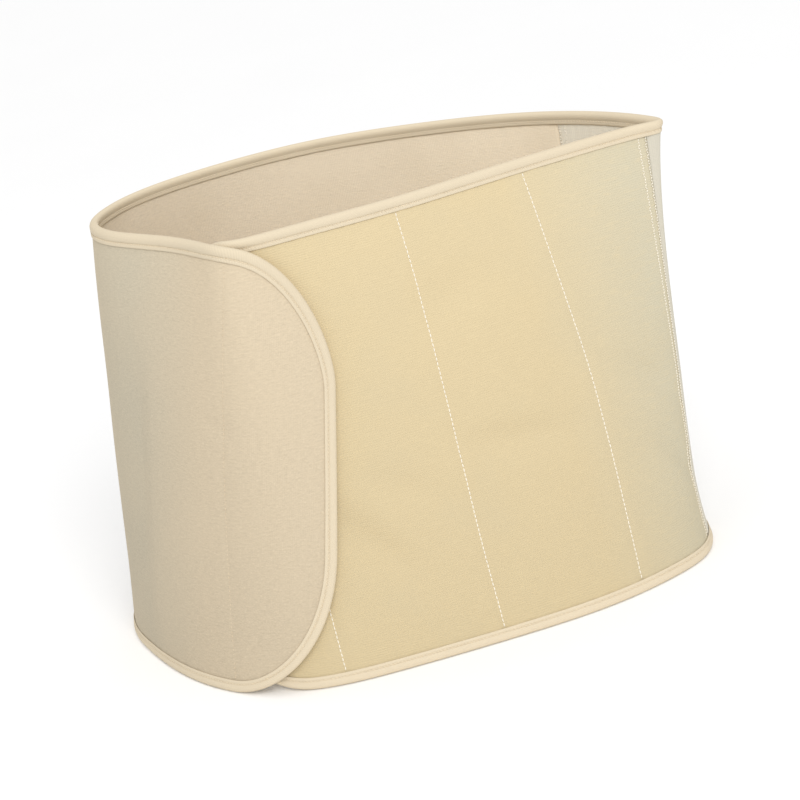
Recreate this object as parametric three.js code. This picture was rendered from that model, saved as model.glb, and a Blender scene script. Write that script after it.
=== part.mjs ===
// Abdominal binder: one wide strip of laminated cloth closed into a slightly conical ring,
// standing on its lower edge. Millimetres, +Z up, the closure faces -Y, +X along the ring.
// The origin is the middle of the footprint, on the surface that the ring stands on.
import * as THREE from "three";

// Strip
const BAND_HEIGHT = 260; // width of the strip, so the height of the ring
const PANEL_THICKNESS = 3; // foam laminate between two cloth faces
const GAP = 0.3; // room kept between pieces that touch

// Ring, as it stands
const RING_WIDTH = 366;
const RING_DEPTH = 224;

// Edge binding, a tape folded round the edge of the strip
const BINDING_WIDTH = 7.5;
const BINDING_THICKNESS = 5.4;
const BINDING_LIP = 4.9; // thickness over the two flat lips behind the roll
const BINDING_FLOOR = 1.6; // tape and roll outside the edge of the strip
const SLOT_ROOM = 0.6; // room on each side of the strip inside the folded tape

// Closure
const END_LENGTH = 68; // length of the rounded flap end
const TAIL_LENGTH = 80; // length of the rounded end that the flap covers

// Rounded corners of an end, as shares of the end's length and of BAND_HEIGHT. Round is the
// exponent of the corner's outline: 2 is an ellipse, less is closer to a slant.
const UPPER_CORNER = { lengthShare: 1, heightShare: 0.346, round: 1.6 };
const LOWER_CORNER = { lengthShare: 0.88, heightShare: 0.3, round: 2.1 };

// Hook tape under the flap
const HOOK_THICKNESS = 1.1; // hook tape on the inner face of the flap
const HOOK_GAP = 0.4; // room between the hook tape and the flap
const HOOK_MARGIN = 1; // room between the hook tape and the lips of the binding
const LAP_ROOM = 0.8; // room between the flap's binding and the covered end's
const LAP_RISE = 70; // length over which the flap steps out over the covered end
const LAP_LEAD = 95; // length before the flap's stitch line where the flap lies fully outside

// Facets
const STEP = 19; // longest column of a panel
const TURN_STEP = 0.2; // most that a column turns, radians
const ROWS = 6; // rows of a panel between the lips of its binding
const END_STEPS = 16; // columns of a rounded end
const CORNER_SAMPLES = 60; // samples of a corner's outline
const TABLE_STEPS = 720; // samples of the arc length tables

// Plan of the ring, counterclockwise from the front corner, as control points of a closed
// uniform cubic spline. Across is a share of RING_WIDTH and along a share of RING_DEPTH, both
// from the middle of the ring. Waist moves the wall out between the rims, a share of BAND_HEIGHT.
// columns: top across, top along, foot across, foot along, waist
const STATIONS = [
  [-0.193, -0.364, -0.208, -0.512, -0.003],
  [-0.082, -0.307, -0.059, -0.478, -0.002],
  [0.098, -0.234, 0.121, -0.419, -0.001],
  [0.267, -0.111, 0.284, -0.351, -0.001],
  [0.396, -0.044, 0.397, -0.243, -0.004],
  [0.468, -0.013, 0.455, -0.163, -0.017],
  [0.507, -0.021, 0.471, -0.082, -0.026],
  [0.493, 0.033, 0.479, 0.025, -0.023],
  [0.432, 0.172, 0.435, 0.175, -0.013],
  [0.319, 0.335, 0.32, 0.331, -0.002],
  [0.144, 0.438, 0.145, 0.447, 0],
  [-0.035, 0.497, -0.049, 0.508, -0.003],
  [-0.21, 0.431, -0.243, 0.497, -0.005],
  [-0.356, 0.302, -0.411, 0.399, -0.006],
  [-0.417, 0.117, -0.501, 0.213, 0.002],
  [-0.368, -0.028, -0.46, -0.001, 0.015],
  [-0.274, -0.163, -0.403, -0.218, 0.01],
  [-0.214, -0.301, -0.327, -0.387, 0],
];

// Lines that cross the strip, from the covered end to the flap end. Top and foot say where the
// line meets each rim, as a share of that rim's girth from the front corner.
// columns: name, top, foot
const LINES = [
  ["tail_end", -0.11, -0.072],
  ["stay_one", 0.0032, 0.0233],
  ["stay_two", 0.1174, 0.1264],
  ["stay_three", 0.2172, 0.2263],
  ["side_seam", 0.3137, 0.3001],
  ["back_seam", 0.429, 0.4065],
  ["flap_line", 0.997, 0.9476],
  ["flap_end", 1.0692, 1.0143],
];

// Section of the folded tape, as shares: across is a share of half the thickness named, depth a
// share of BINDING_WIDTH from the outer edge inwards. The other half mirrors it.
// columns: thickness, across, depth
const SECTION = [
  [BINDING_THICKNESS, 0.55, 0.0],
  [BINDING_THICKNESS, 0.92, 0.12],
  [BINDING_THICKNESS, 1.0, 0.38],
  [BINDING_LIP, 0.98, 0.62],
  [BINDING_LIP, 1.0, 1.0],
];

const COLOURS = {
  wrap_panel: 0xe2d3b7,
  side_panel: 0xdbd3c0,
  front_panel: 0xecd9af,
  edge_binding: 0xf3e4c8,
  hook_patch: 0xe8e0d0,
};

const SLOT = PANEL_THICKNESS + 2 * SLOT_ROOM; // width between the tape's two lips
const EDGE_INSET = BINDING_FLOOR + GAP; // from the outer edge of the tape to the strip's edge
const LAP = BINDING_THICKNESS + LAP_ROOM; // how far outside the covered end the flap lies

// Closed spline through one pair of columns of the stations, u counted in whole turns.
function spline(column, u) {
  const n = STATIONS.length;
  const s = (u - Math.floor(u)) * n;
  const i = Math.floor(s);
  const f = s - i;
  const weights = [(1 - f) ** 3, 3 * f ** 3 - 6 * f * f + 4, -3 * f ** 3 + 3 * f * f + 3 * f + 1, f ** 3];
  return weights.reduce((sum, w, k) => sum + (w / 6) * STATIONS[(i + k - 1 + n) % n][column], 0);
}

// Point of the bare ring at turn u and share t of the height, with the outward direction.
function ringPoint(u, t) {
  const x = THREE.MathUtils.lerp(spline(2, u), spline(0, u), t) * RING_WIDTH;
  const y = THREE.MathUtils.lerp(spline(3, u), spline(1, u), t) * RING_DEPTH;
  return new THREE.Vector3(x, y, t * BAND_HEIGHT);
}

function outward(u, t) {
  const d = 1e-3;
  const along = ringPoint(u + d, t).sub(ringPoint(u - d, t));
  return new THREE.Vector3(along.y, -along.x, 0).normalize();
}

// Length along a rim at evenly spaced turns.
function girthTable(t) {
  const table = [0];
  for (let i = 1; i <= TABLE_STEPS; i += 1) {
    const step = ringPoint(i / TABLE_STEPS, t).distanceTo(ringPoint((i - 1) / TABLE_STEPS, t));
    table.push(table[i - 1] + step);
  }
  return table;
}

const TOP_TABLE = girthTable(1);
const FOOT_TABLE = girthTable(0);

// Turn at a share of a rim's girth, which may lie before 0 or past 1.
function turnAt(table, share) {
  const whole = Math.floor(share);
  const length = (share - whole) * table[TABLE_STEPS];
  let i = 1;
  while (table[i] < length) i += 1;
  return whole + (i - 1 + (length - table[i - 1]) / (table[i] - table[i - 1])) / TABLE_STEPS;
}

// Lines with their place along the strip, measured half way between the rims' lengths.
const MEAN_GIRTH = (TOP_TABLE[TABLE_STEPS] + FOOT_TABLE[TABLE_STEPS]) / 2;
const line = {};
LINES.forEach(([name, top, foot]) => {
  line[name] = { top, foot, at: ((top + foot) / 2) * MEAN_GIRTH };
});
const STRIP_START = line.tail_end.at;
const STRIP_END = line.flap_end.at;

// Turn of the point at strip place s and share t of the height.
function turnOnStrip(s, t) {
  const rows = Object.values(line);
  let i = 1;
  while (i < rows.length - 1 && rows[i].at < s) i += 1;
  const f = (s - rows[i - 1].at) / (rows[i].at - rows[i - 1].at);
  const top = turnAt(TOP_TABLE, THREE.MathUtils.lerp(rows[i - 1].top, rows[i].top, f));
  const foot = turnAt(FOOT_TABLE, THREE.MathUtils.lerp(rows[i - 1].foot, rows[i].foot, f));
  return THREE.MathUtils.lerp(foot, top, t);
}

// How far outside the bare ring the strip lies at place s.
function lapAt(s) {
  const start = line.flap_line.at - LAP_LEAD;
  return LAP * THREE.MathUtils.smoothstep(s, start - LAP_RISE, start);
}

// Point of the strip: place s along it, height z, and distance out from its middle layer.
function onStrip(s, z, out) {
  const t = z / BAND_HEIGHT;
  const u = turnOnStrip(s, t);
  const normal = outward(u, t);
  const waist = spline(4, u) * BAND_HEIGHT * (1 - (2 * t - 1) ** 4);
  return ringPoint(u, t).addScaledVector(normal, waist + lapAt(s) + out);
}

// Places along the strip for the columns between two places, closer together where it turns.
function columns(from, to) {
  const fine = 200;
  const cost = [0];
  for (let i = 1; i <= fine; i += 1) {
    const places = [i - 1, i].map((k) => from + ((to - from) * k) / fine);
    const turns = [0, 1].map((t) => {
      const [a, b] = places.map((s) => outward(turnOnStrip(s, t), t));
      return a.angleTo(b);
    });
    cost.push(cost[i - 1] + (places[1] - places[0]) / STEP + Math.max(...turns) / TURN_STEP);
  }
  const count = Math.ceil(cost[fine]);
  const out = [];
  let k = 0;
  for (let i = 0; i < count; i += 1) {
    while (cost[k] < (cost[fine] * i) / count) k += 1;
    out.push(from + ((to - from) * k) / fine);
  }
  return out.concat(to);
}

// Corner of an end of the given length at a turn from 0, at the tip, to a quarter circle:
// distance from the tip, rise from the strip's edge, and the way inwards in both.
function cornerPoint(corner, endLength, turn) {
  const length = corner.lengthShare * endLength;
  const height = corner.heightShare * BAND_HEIGHT;
  const x = Math.cos(turn) ** (2 / corner.round);
  const z = Math.sin(turn) ** (2 / corner.round);
  const inward = new THREE.Vector2(x ** (corner.round - 1) / length, z ** (corner.round - 1) / height);
  inward.normalize();
  return { d: length * (1 - x), rise: height * (1 - z), inD: inward.x, inRise: inward.y };
}

// Rise of a corner's outline at distance d from the tip, with the outline inset all round.
function cornerRise(corner, endLength, inset, d) {
  const height = corner.heightShare * BAND_HEIGHT;
  let last = [inset, height];
  for (let i = 1; i <= CORNER_SAMPLES; i += 1) {
    const point = cornerPoint(corner, endLength, (i / CORNER_SAMPLES) * (Math.PI / 2));
    const next = [point.d + point.inD * inset, point.rise + point.inRise * inset];
    if (next[0] >= d) {
      const f = THREE.MathUtils.clamp((d - last[0]) / (next[0] - last[0]), 0, 1);
      return THREE.MathUtils.lerp(last[1], next[1], f);
    }
    last = next;
  }
  return inset;
}

// Lowest and highest z of the strip at place s, inset from the outline all round.
function span(s, inset) {
  const ends = [
    [s - STRIP_START, TAIL_LENGTH],
    [STRIP_END - s, END_LENGTH],
  ];
  let low = inset;
  let high = BAND_HEIGHT - inset;
  ends.forEach(([d, length]) => {
    if (d < length) {
      high = BAND_HEIGHT - cornerRise(UPPER_CORNER, length, inset, d);
      low = cornerRise(LOWER_CORNER, length, inset, d);
    }
  });
  return [low, high];
}

// Columns of a rounded end from its inset tip, closer together towards the tip.
function endColumns(length, inset) {
  const out = [];
  for (let i = 0; i < END_STEPS; i += 1) {
    out.push(length - (length - inset) * Math.cos((i / END_STEPS) * (Math.PI / 2)) ** (2 / UPPER_CORNER.round));
  }
  return out;
}

// Closed mesh between an outer and an inner grid of points, both [column][row].
function slab(outer, inner) {
  const wide = outer.length;
  const tall = outer[0].length;
  const points = [...outer.flat(), ...inner.flat()];
  const at = (side, i, j) => side * wide * tall + i * tall + j;
  const faces = [];
  const quad = (a, b, c, d) => faces.push(a, b, c, a, c, d);
  for (let i = 0; i < wide - 1; i += 1) {
    for (let j = 0; j < tall - 1; j += 1) {
      quad(at(0, i, j), at(0, i + 1, j), at(0, i + 1, j + 1), at(0, i, j + 1));
      quad(at(1, i, j), at(1, i, j + 1), at(1, i + 1, j + 1), at(1, i + 1, j));
    }
    quad(at(0, i + 1, 0), at(0, i, 0), at(1, i, 0), at(1, i + 1, 0));
    quad(at(0, i, tall - 1), at(0, i + 1, tall - 1), at(1, i + 1, tall - 1), at(1, i, tall - 1));
  }
  for (let j = 0; j < tall - 1; j += 1) {
    quad(at(0, 0, j), at(0, 0, j + 1), at(1, 0, j + 1), at(1, 0, j));
    quad(at(0, wide - 1, j + 1), at(0, wide - 1, j), at(1, wide - 1, j), at(1, wide - 1, j + 1));
  }
  return toMesh(points, faces);
}

// Closed ring of equal sections, [section][point], counterclockwise seen along the path.
function loop(sections) {
  const n = sections.length;
  const m = sections[0].length;
  const faces = [];
  for (let i = 0; i < n; i += 1) {
    for (let j = 0; j < m; j += 1) {
      const a = i * m + j;
      const b = i * m + ((j + 1) % m);
      const c = ((i + 1) % n) * m + ((j + 1) % m);
      const d = ((i + 1) % n) * m + j;
      faces.push(a, b, c, a, c, d);
    }
  }
  return toMesh(sections.flat(), faces);
}

function toMesh(points, faces) {
  const geometry = new THREE.BufferGeometry();
  geometry.setAttribute("position", new THREE.Float32BufferAttribute(points.flatMap((p) => p.toArray()), 3));
  geometry.setIndex(faces);
  return geometry;
}

// Heights of a column's points: its ends, the lips of the binding, and even steps between.
function rowHeights([low, high]) {
  const lip = BINDING_WIDTH - EDGE_INSET;
  const steps = Array.from({ length: ROWS + 1 }, (_, j) => j / ROWS);
  return [low, ...steps.map((f) => THREE.MathUtils.lerp(low + lip, high - lip, f)), high];
}

// Layer of the strip at the given places, cut to the strip's outline less an inset.
function layer(places, inset, outerFace, innerFace) {
  const grid = (out) => places.map((s) => rowHeights(span(s, inset)).map((z) => onStrip(s, z, out)));
  return slab(grid(outerFace), grid(innerFace));
}

// Columns of the three panels between the two rounded ends.
const SEAM = GAP / 2;
const body = {
  front: columns(STRIP_START + TAIL_LENGTH, line.side_seam.at - SEAM),
  side: columns(line.side_seam.at + SEAM, line.back_seam.at - SEAM),
  wrap: columns(line.back_seam.at + SEAM, STRIP_END - END_LENGTH),
};

// Outline of the strip as [place, z, inward along, inward up], once round.
function outline() {
  const path = [];
  const straight = [...body.front, ...body.side, ...body.wrap];
  const end = (tip, side, length) => {
    const turns = Array.from({ length: END_STEPS }, (_, i) => (i / END_STEPS) * (Math.PI / 2));
    const upper = turns.map((turn) => {
      const p = cornerPoint(UPPER_CORNER, length, turn);
      return [tip + side * p.d, BAND_HEIGHT - p.rise, side * p.inD, -p.inRise];
    });
    const lower = [...turns, Math.PI / 2].map((turn) => {
      const p = cornerPoint(LOWER_CORNER, length, turn);
      return [tip + side * p.d, p.rise, side * p.inD, p.inRise];
    });
    const middle = THREE.MathUtils.lerp(upper[0][1], lower[0][1], 0.5);
    return [...upper.reverse(), [tip, middle, side, 0], ...lower];
  };
  straight.forEach((s) => path.push([s, BAND_HEIGHT, 0, -1]));
  path.push(...end(STRIP_END, -1, END_LENGTH));
  straight
    .slice()
    .reverse()
    .forEach((s) => path.push([s, 0, 0, 1]));
  path.push(...end(STRIP_START, 1, TAIL_LENGTH).reverse());
  return path;
}

function binding() {
  const half = SECTION.map(([thickness, across, depth]) => [(thickness / 2) * across, depth * BINDING_WIDTH]);
  const slot = [
    [SLOT / 2, BINDING_WIDTH],
    [SLOT / 2, BINDING_FLOOR],
  ];
  const side = [...half, ...slot];
  const profile = [...side, ...side.map(([out, depth]) => [-out, depth]).reverse()];
  const sections = outline().map(([s, z, inS, inZ]) =>
    profile.map(([out, depth]) => onStrip(s + inS * depth, z + inZ * depth, out)),
  );
  return loop(sections);
}

function build() {
  const half = PANEL_THICKNESS / 2;
  const tail = endColumns(TAIL_LENGTH, EDGE_INSET).map((d) => STRIP_START + d);
  const tip = endColumns(END_LENGTH, EDGE_INSET)
    .map((d) => STRIP_END - d)
    .reverse();
  const frontPlaces = [...tail, ...body.front];
  const wrapPlaces = [...body.wrap, ...tip];
  const hookInset = BINDING_WIDTH + HOOK_MARGIN;
  const hookTip = STRIP_END - hookInset;
  const hookPlaces = [STRIP_END - END_LENGTH, ...tip.filter((s) => s < hookTip - HOOK_MARGIN), hookTip];
  return {
    wrap_panel: layer(wrapPlaces, EDGE_INSET, half, -half),
    side_panel: layer(body.side, EDGE_INSET, half, -half),
    front_panel: layer(frontPlaces, EDGE_INSET, half, -half),
    edge_binding: binding(),
    hook_patch: layer(hookPlaces, hookInset, -half - HOOK_GAP, -half - HOOK_GAP - HOOK_THICKNESS),
  };
}

const binder = new THREE.Group();
const pieces = build();
const box = new THREE.Box3();
Object.values(pieces).forEach((geometry) => {
  geometry.computeBoundingBox();
  box.union(geometry.boundingBox);
});
const middle = box.getCenter(new THREE.Vector3());
Object.entries(pieces).forEach(([name, geometry]) => {
  geometry.translate(-middle.x, -middle.y, -box.min.z);
  geometry.computeVertexNormals();
  const cloth = new THREE.MeshStandardMaterial({ color: COLOURS[name], roughness: 0.95, metalness: 0 });
  const mesh = new THREE.Mesh(geometry, cloth);
  mesh.name = name;
  binder.add(mesh);
});

export default binder;
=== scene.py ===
"""Dresses the abdominal binder's frame: soft panels, rolled edge binding, stitches, cloth finishes."""
import math

import bmesh
import bpy
import numpy as np
from mathutils import Matrix, Vector


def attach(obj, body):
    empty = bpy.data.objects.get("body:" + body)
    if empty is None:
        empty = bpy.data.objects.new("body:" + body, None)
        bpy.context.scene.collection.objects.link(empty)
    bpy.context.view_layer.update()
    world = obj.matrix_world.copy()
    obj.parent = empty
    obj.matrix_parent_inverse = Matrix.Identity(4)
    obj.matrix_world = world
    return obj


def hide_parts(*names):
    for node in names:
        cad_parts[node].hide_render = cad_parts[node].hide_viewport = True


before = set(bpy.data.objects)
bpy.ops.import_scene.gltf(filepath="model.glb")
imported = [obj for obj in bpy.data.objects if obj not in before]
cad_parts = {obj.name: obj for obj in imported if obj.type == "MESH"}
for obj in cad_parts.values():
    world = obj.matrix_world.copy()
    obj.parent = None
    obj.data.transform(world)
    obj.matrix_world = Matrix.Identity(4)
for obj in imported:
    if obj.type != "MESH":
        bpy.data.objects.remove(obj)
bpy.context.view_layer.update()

bl_info = {
    "name": "Abdominal binder",
    "version": (1, 0, 0),
    "blender": (4, 5, 0),
    "location": "3D View > Sidebar > Binder",
    "description": "Builds the cloth panels, edge binding, stitches and finishes of an abdominal binder",
    "category": "Object",
}

# Plan of the ring from the front corner, counterclockwise, as control points of a closed cubic
# spline, shares of the ring's width and depth; waist is a share of the strip's height.
# columns: top across, top along, foot across, foot along, waist
STATIONS = np.array([
    [-0.193, -0.364, -0.208, -0.512, -0.003],
    [-0.082, -0.307, -0.059, -0.478, -0.002],
    [0.098, -0.234, 0.121, -0.419, -0.001],
    [0.267, -0.111, 0.284, -0.351, -0.001],
    [0.396, -0.044, 0.397, -0.243, -0.004],
    [0.468, -0.013, 0.455, -0.163, -0.017],
    [0.507, -0.021, 0.471, -0.082, -0.026],
    [0.493, 0.033, 0.479, 0.025, -0.023],
    [0.432, 0.172, 0.435, 0.175, -0.013],
    [0.319, 0.335, 0.32, 0.331, -0.002],
    [0.144, 0.438, 0.145, 0.447, 0],
    [-0.035, 0.497, -0.049, 0.508, -0.003],
    [-0.21, 0.431, -0.243, 0.497, -0.005],
    [-0.356, 0.302, -0.411, 0.399, -0.006],
    [-0.417, 0.117, -0.501, 0.213, 0.002],
    [-0.368, -0.028, -0.46, -0.001, 0.015],
    [-0.274, -0.163, -0.403, -0.218, 0.01],
    [-0.214, -0.301, -0.327, -0.387, 0],
])

# Steps in which a rim's length is measured.
RIM_STEPS = 720

# Lines across the strip, as shares of the top and foot rims' girths.
# columns: name, top, foot
LINES = [
    ("tail_end", -0.11, -0.072),
    ("stay_one", 0.0032, 0.0233),
    ("stay_two", 0.1174, 0.1264),
    ("stay_three", 0.2172, 0.2263),
    ("side_seam", 0.3137, 0.3001),
    ("back_seam", 0.429, 0.4065),
    ("flap_line", 0.997, 0.9476),
    ("flap_end", 1.0692, 1.0143),
]

# How far a stitched line wanders from its straight line, millimetres along the strip, at
# heights that are shares of the strip's.
# columns: height, offset
WANDER = {
    "stay_one": [(0.0, -0.2), (1.0, -0.3)],
    "stay_two": [
        (0.03, 0.8), (0.22, -0.3), (0.45, 0.1), (0.64, 0.0), (0.75, 0.2), (0.88, -1.3), (1.0, -3.6),
    ],
    "stay_three": [
        (0.0, -1.2), (0.14, 0.8), (0.33, 2.9), (0.53, 3.6), (0.72, 0.9), (0.85, -0.9), (1.0, -3.6),
    ],
    "flap_line": [
        (0.0, 2.0), (0.04, 1.2), (0.13, -2.8), (0.29, -5.6),
        (0.45, -7.4), (0.6, -7.6), (0.8, -5.1), (1.0, -1.8),
    ],
}
STAY_LINES = ("stay_one", "stay_two", "stay_three")

# Slow waves of the whole strip, metres: their height, and how far above the foot they start.
SWAY = 0.00042
SWAY_FOOT = 0.03

# Upright fold where the wrap turns in before the covered end, metres: its depth, the stretches
# before that end where it sinks and comes back, and the heights over which it fades.
FOLD_DEPTH = 0.0024
FOLD_SINKS = (0.012, 0.027)
FOLD_RETURNS = (0.034, 0.095)
FOLD_FOOT = (0.0, 0.05)
FOLD_TOP = (0.15, 0.215)

# Soft dents of the laminate, millimetres: place along the strip, height, half length, half
# width, slant in degrees, depth.
DENTS = [
    (140, 110, 32, 10, -8, 3.0),
    (43, 74, 30, 11, -50, 4.0),
    (66, 102, 24, 10, -30, 1.6),
    (231, 118, 26, 8, -42, 3.0),
    (243, 67, 26, 8, -50, 2.4),
    (120, 198, 30, 13, 12, 1.6),
    (820, 156, 9, 5, -15, 0.8),
]

# Corners of the rounded ends.
# columns: length, a share of the end's; height, a share of the strip's; exponent of the outline
UPPER_CORNER = (1.0, 0.346, 1.6)
LOWER_CORNER = (0.88, 0.3, 2.1)

# The UV map is the strip laid flat, in metres. An inner face lies this far up it.
INSIDE = 1.0

# Share of its thickness that a panel keeps one face before its end.
SOFT_END = 0.94

# Gathers beside the binding, metres: height, reach from the edge, length along the strip.
PUCKER = 0.00016
PUCKER_REACH = 0.009
PUCKER_LENGTH = 0.0016

# Grooves that stitches draw into the cloth, metres: depth, width.
STAY_GROOVE = (0.00055, 0.0017)
STAY_GROOVE_IN = (0.00035, 0.0015)
FLAP_GROOVE = (0.0004, 0.0016)
FRONT_SEAM_GROOVE = (0.0003, 0.006)
FRONT_SEAM_GROOVE_IN = (0.0003, 0.003)
SIDE_SEAM_GROOVE = (0.0003, 0.004)
SIDE_SEAM_GROOVE_IN = (0.0004, 0.003)
WRAP_SEAM_GROOVE = (0.0004, 0.0035)
WRAP_SEAM_GROOVE_IN = (0.0003, 0.0035)

# The cloth swells beside a stay line, metres: height, distance from the line, width.
STAY_SWELL = 0.00018
STAY_SWELL_PLACE = 0.0055
STAY_SWELL_WIDTH = 0.0035

# Ribs of the elastic, metres: height, pitch.
ELASTIC_RIB = 0.00007
ELASTIC_RIB_PITCH = 0.0052

# Half section of the edge binding, millimetres: depth from the edge inwards, distance out.
BINDING_HALF = [
    (0.0, 0.0), (0.05, 0.72), (0.28, 1.42), (0.75, 2.02), (1.45, 2.48), (2.3, 2.68), (3.2, 2.66),
    (4.0, 2.5), (4.6, 2.28), (4.95, 2.05), (5.15, 1.95), (5.4, 2.02), (5.65, 2.26), (6.1, 2.38),
    (6.8, 2.38), (7.25, 2.3), (7.5, 2.14), (7.5, 1.9), (7.1, 1.74), (4.0, 1.74), (1.9, 1.74),
    (1.62, 1.3), (1.6, 0.0),
]

# Only the outer half of the tape is drawn in under its stitches, metres: the depths between
# which it is, the least distance out of its outer layer, and where the inner half lies instead.
DRAWN_IN = (0.0035, 0.007)
OUTER_LAYER = 0.0019
INNER_LIE = 0.00228

# Where two of its stitches meet, the tape is drawn in by this share more, past these depths from
# the edge, metres.
TAPE_NIP = 0.05
TAPE_NIP_DEPTHS = (0.0042, 0.0052)

# A stitch's length as a share of its step, then half its width and half its height, metres.
STAY_THREAD = (0.9, 0.00042, 0.0004)
FLAP_THREAD = (0.6, 0.00024, 0.00022)
SEAM_THREAD = (0.84, 0.00036, 0.00036)
TAPE_THREAD = (0.72, 0.00036, 0.00036)

# How deep the middle of a stitch lies in the face, metres.
LINE_SUNK = 0.0003
SEAM_SUNK = 0.00005
INNER_SUNK = 0.0001

# Room between the tape and the last stitch of a row, and how far stitches stray, metres.
LINE_ROOM = 0.0004
SEAM_END_ROOM = 0.0003
STRAY = 0.00012

# Zigzag rows, metres: where they lie from the seam, and their width.
SEAM_ROWS = (-0.005, -0.0008)
SEAM_SWING = 0.0012

# Line of stitches on the binding, metres: how far from the edge, and distance out.
TAPE_LINE = 0.0054
TAPE_OUT = 0.00213

# Hook tape, metres: inwards from the binding, gap under the flap, thickness, and how far under
# the flap its two ends lie.
HOOK_INSET = 0.001
HOOK_GAP = 0.0004
HOOK_THICKNESS = 0.0011
HOOK_END = 0.00095

# Plain floor, metres: half its size, and how far it lies under the foot.
FLOOR_HALF = 9
FLOOR_DROP = 0.0003

# Light: strength of the room; place, strength and spread in degrees of the key lamp; place, aim,
# power and size of the soft lamp overhead.
ROOM_LIGHT = 0.68
KEY_PLACE = (0.35, -2.0, 1.6)
KEY_STRENGTH = 1.6
KEY_SPREAD = 38
OVERHEAD_PLACE = (-0.05, -0.06, 0.85)
OVERHEAD_AIM = (0.08, 0.04, 0.2)
OVERHEAD_POWER = 1.2
OVERHEAD_SIZE = 0.8

# Camera as in the photo: the point that it looks at and its distance, metres; how far it looks
# down and its roll, degrees; sensor in millimetres; focal length and photo width in pixels.
CAMERA_TARGET = (0.004238, -0.022562, 0.13)
CAMERA_DISTANCE = 1.56
CAMERA_DOWN = 20
CAMERA_ROLL = -11.2
SENSOR = 36
FOCAL_PIXELS = 2676
PHOTO_PIXELS = 800


def colour(name, value, words):
    """Colour that a user can change."""
    return bpy.props.FloatVectorProperty(
        name=name, description=words, default=value, size=3, min=0, max=1, subtype="COLOR"
    )


def length(name, value, words):
    """Length that a user can change, in metres."""
    return bpy.props.FloatProperty(
        name=name, description=words, default=value, min=0, unit="LENGTH", subtype="DISTANCE"
    )


class BinderSizes(bpy.types.PropertyGroup):
    """Sizes of the strip, its binding and its stitches."""

    height: length("Height", 0.26, "Width of the strip, so the height of the ring")
    ring_width: length("Ring width", 0.366, "Width of the standing ring")
    ring_depth: length("Ring depth", 0.224, "Depth of the standing ring")
    panel: length("Panel thickness", 0.003, "Thickness of the foam laminate")
    inset: length("Panel inset", 0.0019, "From the tape's outer edge to the panel's edge")
    binding: length("Binding width", 0.0075, "Width of the folded edge tape")
    lap: length("Lap", 0.0062, "How far outside the covered end the flap lies")
    lap_rise: length("Lap rise", 0.07, "Length over which the flap steps out")
    lap_lead: length("Lap lead", 0.095, "Length before the flap's line where it lies fully outside")
    tail: length("Covered end", 0.08, "Length of the rounded end under the flap")
    tip: length("Flap end", 0.068, "Length of the rounded end of the flap")
    step: length("Mesh step", 0.0024, "Size of a panel's faces")
    binding_step: length("Binding step", 0.0022, "Length of the binding's faces")
    stay_pitch: length("Stay pitch", 0.0027, "Stitch length of the stay lines")
    seam_pitch: length("Seam pitch", 0.0017, "Step of the zigzag seams")
    edge_pitch: length("Edge pitch", 0.0021, "Stitch length on the binding")
    seam_room: length("Seam room", 0.00004, "Room from a seam's middle to a panel")
    shift: bpy.props.FloatVectorProperty(
        name="Shift", description="From the ring's middle to the frame's", size=3,
        default=(-0.0017616, -0.0001621, 0), unit="LENGTH", subtype="TRANSLATION",
    )


class BinderColours(bpy.types.PropertyGroup):
    """Colours of the cloth, tape and thread."""

    wrap: colour("Wrap", (0.625, 0.522, 0.374), "Brushed beige face of the wrap")
    # Wrap at the turn holds painted shade: the wrap's colour, greyer and darker round the left turn.
    wrap_turn_shade: colour("Wrap at the turn", (0.52, 0.466, 0.354), "Greyer wrap round the left turn")
    wrap_in: colour("Wrap inside", (0.765, 0.66, 0.512), "Inner face of the wrap")
    front: colour("Front", (0.655, 0.538, 0.332), "Yellow loop face of the front")
    # Front towards the side holds painted shade: the front's colour, greyer towards the side seam.
    front_side_shade: colour("Front towards the side", (0.58, 0.54, 0.412), "Front face near the side seam")
    front_in: colour("Front inside", (0.73, 0.63, 0.47), "Inner face of the front")
    side: colour("Side", (0.60, 0.562, 0.468), "Grey elastic side")
    side_in: colour("Side inside", (0.845, 0.79, 0.665), "Inner face of the side")
    tape: colour("Tape", (0.665, 0.57, 0.42), "Edge tape")
    thread: colour("Thread", (0.86, 0.80, 0.68), "Stitching thread")
    hook: colour("Hook tape", (0.74, 0.68, 0.56), "Hook tape under the flap")
    floor: colour("Floor", (0.99, 0.99, 0.99), "Plain pale floor")


def sizes():
    return bpy.context.scene.binder_sizes


def colours():
    return bpy.context.scene.binder_colours


# Form of the strip: place s along it, height z and distance out give a point of the ring.


def spline(column, u):
    """One column of STATIONS at turn u, where 1 is once round."""
    n = len(STATIONS)
    s = (u - np.floor(u)) * n
    i = np.floor(s).astype(int)
    f = s - i
    weights = ((1 - f) ** 3, 3 * f**3 - 6 * f * f + 4, -3 * f**3 + 3 * f * f + 3 * f + 1, f**3)
    return sum(w / 6 * STATIONS[(i + k - 1) % n, column] for k, w in enumerate(weights))


def ring_point(u, t):
    """Point of the ring at turn u and share t of its height, before its waist."""
    p = sizes()
    x = ((1 - t) * spline(2, u) + t * spline(0, u)) * p.ring_width
    y = ((1 - t) * spline(3, u) + t * spline(1, u)) * p.ring_depth
    return np.stack([x, y, t * p.height], axis=-1)


def outward(u, t):
    """Level direction out of the ring."""
    along = ring_point(u + 1e-3, t) - ring_point(u - 1e-3, t)
    normal = np.stack([along[..., 1], -along[..., 0], np.zeros(along.shape[:-1])], axis=-1)
    return normal / np.linalg.norm(normal, axis=-1, keepdims=True)


def smooth(x, low, high):
    """0 up to low and 1 from high on, with a soft step between."""
    f = np.clip((x - low) / (high - low), 0, 1)
    return f * f * (3 - 2 * f)


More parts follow.
